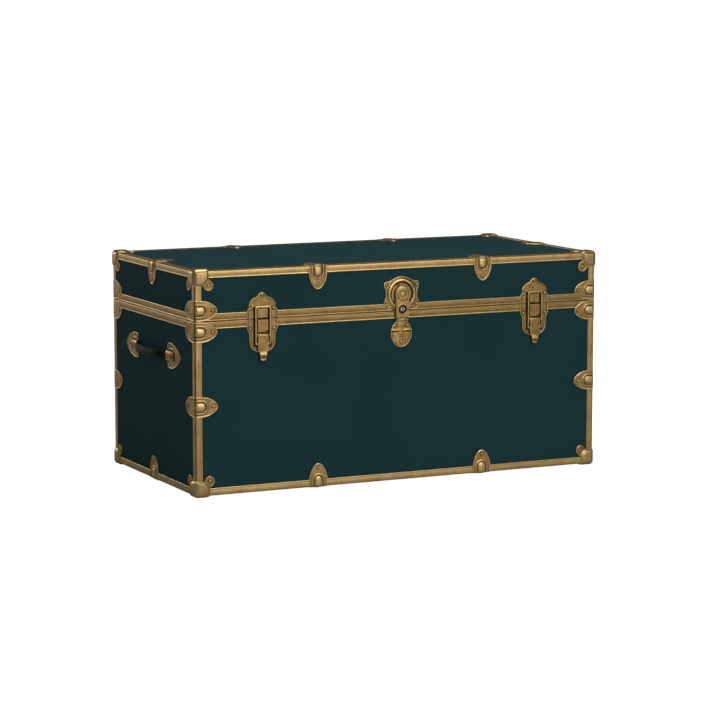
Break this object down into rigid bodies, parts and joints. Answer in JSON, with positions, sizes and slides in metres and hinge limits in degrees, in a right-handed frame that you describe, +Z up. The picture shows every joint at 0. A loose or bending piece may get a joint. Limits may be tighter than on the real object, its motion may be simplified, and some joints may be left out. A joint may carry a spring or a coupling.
{
  "type": "steamer trunk",
  "caption": "Flat-topped steamer trunk in dark teal sheet with brass edge trims, clamps and corner caps, draw bolts, a hasp lock, leather side handles and a hinged lid held by folding stays.",
  "frame": {"origin": "centre of the footprint, on the floor plane under the bottom corner caps", "axes": "+X along the length, to the right seen from the front; -Y is the front with the lock; +Z up"},
  "size_m": [0.9428, 0.4734, 0.456],
  "materials": {
    "antique_brass": "antique, brushed and lacquered",
    "teal_covering": "smooth satin vinyl sheet",
    "birch_plywood": "sanded birch plywood, clear sealed",
    "leather": "dark brown stitched strap leather",
    "nickel": "nickel plated",
    "plated_steel": "zinc plated steel"
  },
  "bodies": {
    "body": {"body_back_panel": "birch_plywood", "body_bottom_panel": "birch_plywood", "body_corner_trims": "antique_brass", "body_covering": "teal_covering", "body_front_panel": "birch_plywood", "body_left_panel": "birch_plywood", "body_middle_corner_clamps": "antique_brass", "body_nails": "antique_brass", "body_right_panel": "birch_plywood", "body_rim_trim_back": "antique_brass", "body_rim_trim_front": "antique_brass", "body_rim_trim_sides": "antique_brass", "body_upper_corner_clamps": "antique_brass", "bottom_corner_caps": "antique_brass", "bottom_edge_clamps": "antique_brass", "bottom_trim_front_back": "antique_brass", "bottom_trim_sides": "antique_brass", "drawbolt_base_left": "antique_brass", "drawbolt_base_right": "antique_brass", "drawbolt_pivot_pins": "plated_steel", "handle_caps_left": "antique_brass", "handle_caps_right": "antique_brass", "hinge_body_leaves": "antique_brass", "hinge_pins": "plated_steel", "lock_hinge_pin": "plated_steel", "lock_lower_plate": "antique_brass", "stay_body_brackets": "plated_steel"},
    "lid": {"drawbolt_strike_left": "antique_brass", "drawbolt_strike_right": "antique_brass", "hinge_lid_leaves": "antique_brass", "lid_back_panel": "birch_plywood", "lid_corner_caps": "antique_brass", "lid_corner_clamps": "antique_brass", "lid_corner_trims": "antique_brass", "lid_covering": "teal_covering", "lid_front_panel": "birch_plywood", "lid_left_panel": "birch_plywood", "lid_nails": "antique_brass", "lid_right_panel": "birch_plywood", "lid_rim_trim_back": "antique_brass", "lid_rim_trim_front": "antique_brass", "lid_rim_trim_sides": "antique_brass", "lid_top_edge_clamps": "antique_brass", "lid_top_panel": "birch_plywood", "lid_top_trim_front_back": "antique_brass", "lid_top_trim_sides": "antique_brass", "lock_shield_plate": "antique_brass", "stay_lid_brackets": "plated_steel"},
    "drawbolt_lever_left": {"drawbolt_lever_left": "antique_brass"},
    "drawbolt_lever_right": {"drawbolt_lever_right": "antique_brass"},
    "drawbolt_link_left": {"drawbolt_link_left": "antique_brass"},
    "drawbolt_link_right": {"drawbolt_link_right": "antique_brass"},
    "lock_hasp": {"lock_hasp": "antique_brass"},
    "lock_key_cylinder": {"lock_key_cylinder": "nickel"},
    "handle_strap_left": {"handle_strap_left": "leather"},
    "handle_strap_right": {"handle_strap_right": "leather"},
    "stay_lower_arm_left": {"stay_lower_arm_left": "plated_steel"},
    "stay_lower_arm_right": {"stay_lower_arm_right": "plated_steel"},
    "stay_upper_arm_left": {"stay_upper_arm_left": "plated_steel"},
    "stay_upper_arm_right": {"stay_upper_arm_right": "plated_steel"}
  },
  "joints": [
    {"name": "lid_hinge", "type": "hinge", "parent": "body", "child": "lid", "pos_m": [0, 0.232, 0.352], "axis": [-1, 0, 0], "range_deg": [0, 100]},
    {"name": "drawbolt_left_lever", "type": "hinge", "parent": "body", "child": "drawbolt_lever_left", "pos_m": [-0.309, -0.23025, 0.3195], "axis": [-1, 0, 0], "range_deg": [0, 135]},
    {"name": "drawbolt_right_lever", "type": "hinge", "parent": "body", "child": "drawbolt_lever_right", "pos_m": [0.309, -0.23025, 0.3195], "axis": [-1, 0, 0], "range_deg": [0, 135]},
    {"name": "drawbolt_left_link", "type": "hinge", "parent": "drawbolt_lever_left", "child": "drawbolt_link_left", "pos_m": [-0.309, -0.22965, 0.303], "axis": [1, 0, 0], "range_deg": [0, 150]},
    {"name": "drawbolt_right_link", "type": "hinge", "parent": "drawbolt_lever_right", "child": "drawbolt_link_right", "pos_m": [0.309, -0.22965, 0.303], "axis": [1, 0, 0], "range_deg": [0, 150]},
    {"name": "hasp_hinge", "type": "hinge", "parent": "body", "child": "lock_hasp", "pos_m": [0, -0.23025, 0.3335], "axis": [1, 0, 0], "range_deg": [0, 150]},
    {"name": "key_cylinder_turn", "type": "hinge", "parent": "lock_hasp", "child": "lock_key_cylinder", "pos_m": [0, -0.23075, 0.3555], "axis": [0, 1, 0], "range_deg": [0, 90]},
    {"name": "handle_left_swing", "type": "hinge", "parent": "body", "child": "handle_strap_left", "pos_m": [-0.4579, 0, 0.27], "axis": [0, 1, 0], "range_deg": [-18, 18], "stiffness_Nm_per_rad": 0.6},
    {"name": "handle_right_swing", "type": "hinge", "parent": "body", "child": "handle_strap_right", "pos_m": [0.4579, 0, 0.27], "axis": [0, 1, 0], "range_deg": [-18, 18], "stiffness_Nm_per_rad": 0.6},
    {"name": "stay_left_lower", "type": "hinge", "parent": "body", "child": "stay_lower_arm_left", "pos_m": [-0.436, 0.11125, 0.31], "axis": [-1, 0, 0], "range_deg": [0, 100]},
    {"name": "stay_right_lower", "type": "hinge", "parent": "body", "child": "stay_lower_arm_right", "pos_m": [0.436, 0.11125, 0.31], "axis": [-1, 0, 0], "range_deg": [0, 100]},
    {"name": "stay_left_elbow", "type": "hinge", "parent": "stay_lower_arm_left", "child": "stay_upper_arm_left", "pos_m": [-0.4337, 0.0105, 0.35], "axis": [-1, 0, 0], "range_deg": [-100, 0]},
    {"name": "stay_right_elbow", "type": "hinge", "parent": "stay_lower_arm_right", "child": "stay_upper_arm_right", "pos_m": [0.4337, 0.0105, 0.35], "axis": [-1, 0, 0], "range_deg": [-100, 0]}
  ],
  "couplings": [
    {"joint": "drawbolt_left_link", "follows": "drawbolt_left_lever", "ratio": 1.1},
    {"joint": "drawbolt_right_link", "follows": "drawbolt_right_lever", "ratio": 1.1},
    {"joint": "stay_left_lower", "follows": "lid_hinge", "ratio": 1},
    {"joint": "stay_right_lower", "follows": "lid_hinge", "ratio": 1},
    {"joint": "stay_left_elbow", "follows": "lid_hinge", "ratio": -1},
    {"joint": "stay_right_elbow", "follows": "lid_hinge", "ratio": -1}
  ]
}
